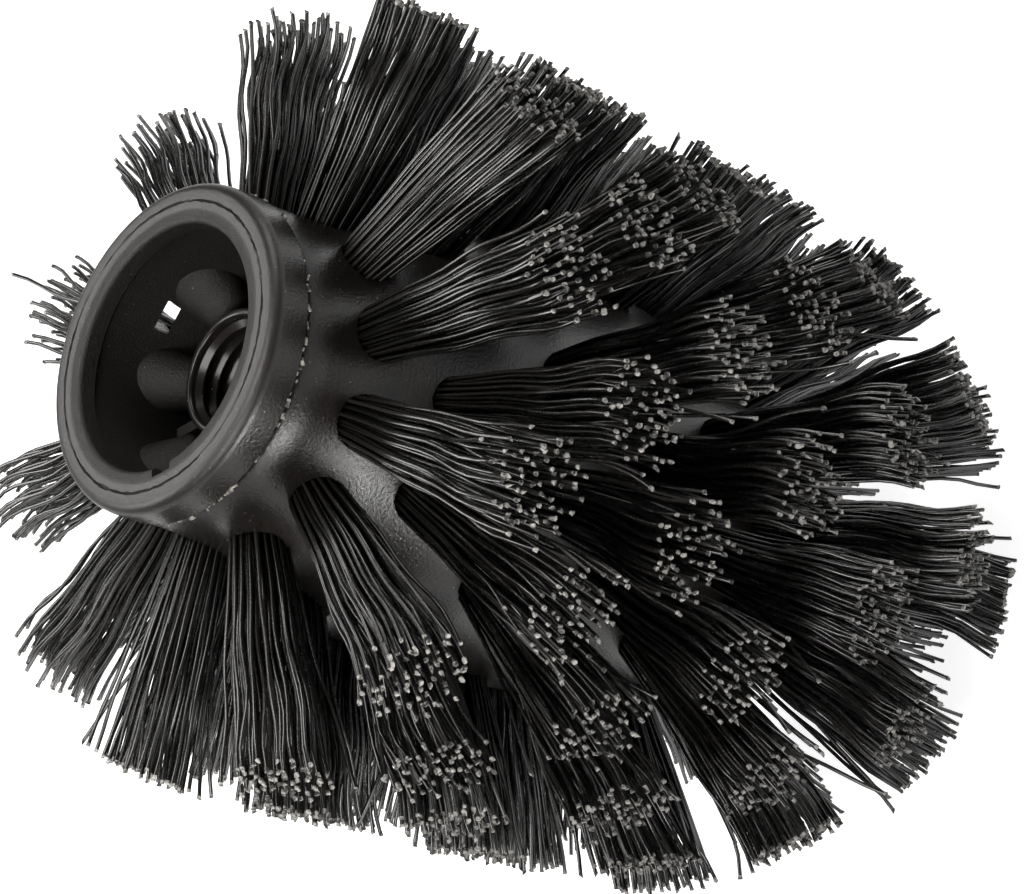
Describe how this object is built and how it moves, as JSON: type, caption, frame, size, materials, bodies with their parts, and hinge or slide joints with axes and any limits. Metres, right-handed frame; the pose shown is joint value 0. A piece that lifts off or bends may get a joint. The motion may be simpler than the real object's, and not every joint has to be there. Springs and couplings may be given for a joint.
{
  "type": "toilet brush head",
  "caption": "Screw-on toilet brush head: a moulded plastic body with an open collar and a threaded socket, set all round with tufts of stiff black bristle.",
  "frame": {"origin": "centre of the collar's rim, in the plane of the rim, where the handle leaves the head", "axes": "+Z along the head's axis out of the collar, the way the handle leaves; -Z towards the rounded end; +X across, through a tuft of the first ring"},
  "size_m": [0.0812, 0.0812, 0.1017],
  "materials": {
    "body_plastic": "moulded dark grey plastic with a fine satin texture",
    "bristle": "extruded black filament, glossy, with cut ends"
  },
  "bodies": {
    "root": {"brush_head_body": "body_plastic", "tuft_pair_ring1_1": "bristle", "tuft_pair_ring1_2": "bristle", "tuft_pair_ring1_3": "bristle", "tuft_pair_ring1_4": "bristle", "tuft_pair_ring1_5": "bristle", "tuft_pair_ring1_6": "bristle", "tuft_pair_ring2_1": "bristle", "tuft_pair_ring2_2": "bristle", "tuft_pair_ring2_3": "bristle", "tuft_pair_ring2_4": "bristle", "tuft_pair_ring2_5": "bristle", "tuft_pair_ring2_6": "bristle", "tuft_pair_ring3_1": "bristle", "tuft_pair_ring3_2": "bristle", "tuft_pair_ring3_3": "bristle", "tuft_pair_ring3_4": "bristle", "tuft_pair_ring3_5": "bristle", "tuft_pair_ring3_6": "bristle", "tuft_pair_ring4_1": "bristle", "tuft_pair_ring4_2": "bristle", "tuft_pair_ring4_3": "bristle", "tuft_pair_ring4_4": "bristle", "tuft_pair_ring4_5": "bristle", "tuft_pair_ring4_6": "bristle", "tuft_pair_ring5_1": "bristle", "tuft_pair_ring5_2": "bristle", "tuft_pair_ring5_3": "bristle", "tuft_pair_ring5_4": "bristle", "tuft_pair_ring5_5": "bristle", "tuft_pair_ring5_6": "bristle", "tuft_pair_ring6_1": "bristle", "tuft_pair_ring6_2": "bristle", "tuft_pair_ring6_3": "bristle", "tuft_pair_ring6_4": "bristle", "tuft_pair_ring6_5": "bristle", "tuft_pair_ring6_6": "bristle", "tuft_pair_ring7_1": "bristle", "tuft_pair_ring7_2": "bristle", "tuft_pair_ring7_3": "bristle", "tuft_pair_ring7_4": "bristle", "tuft_set_end": "bristle"}
  },
  "joints": []
}
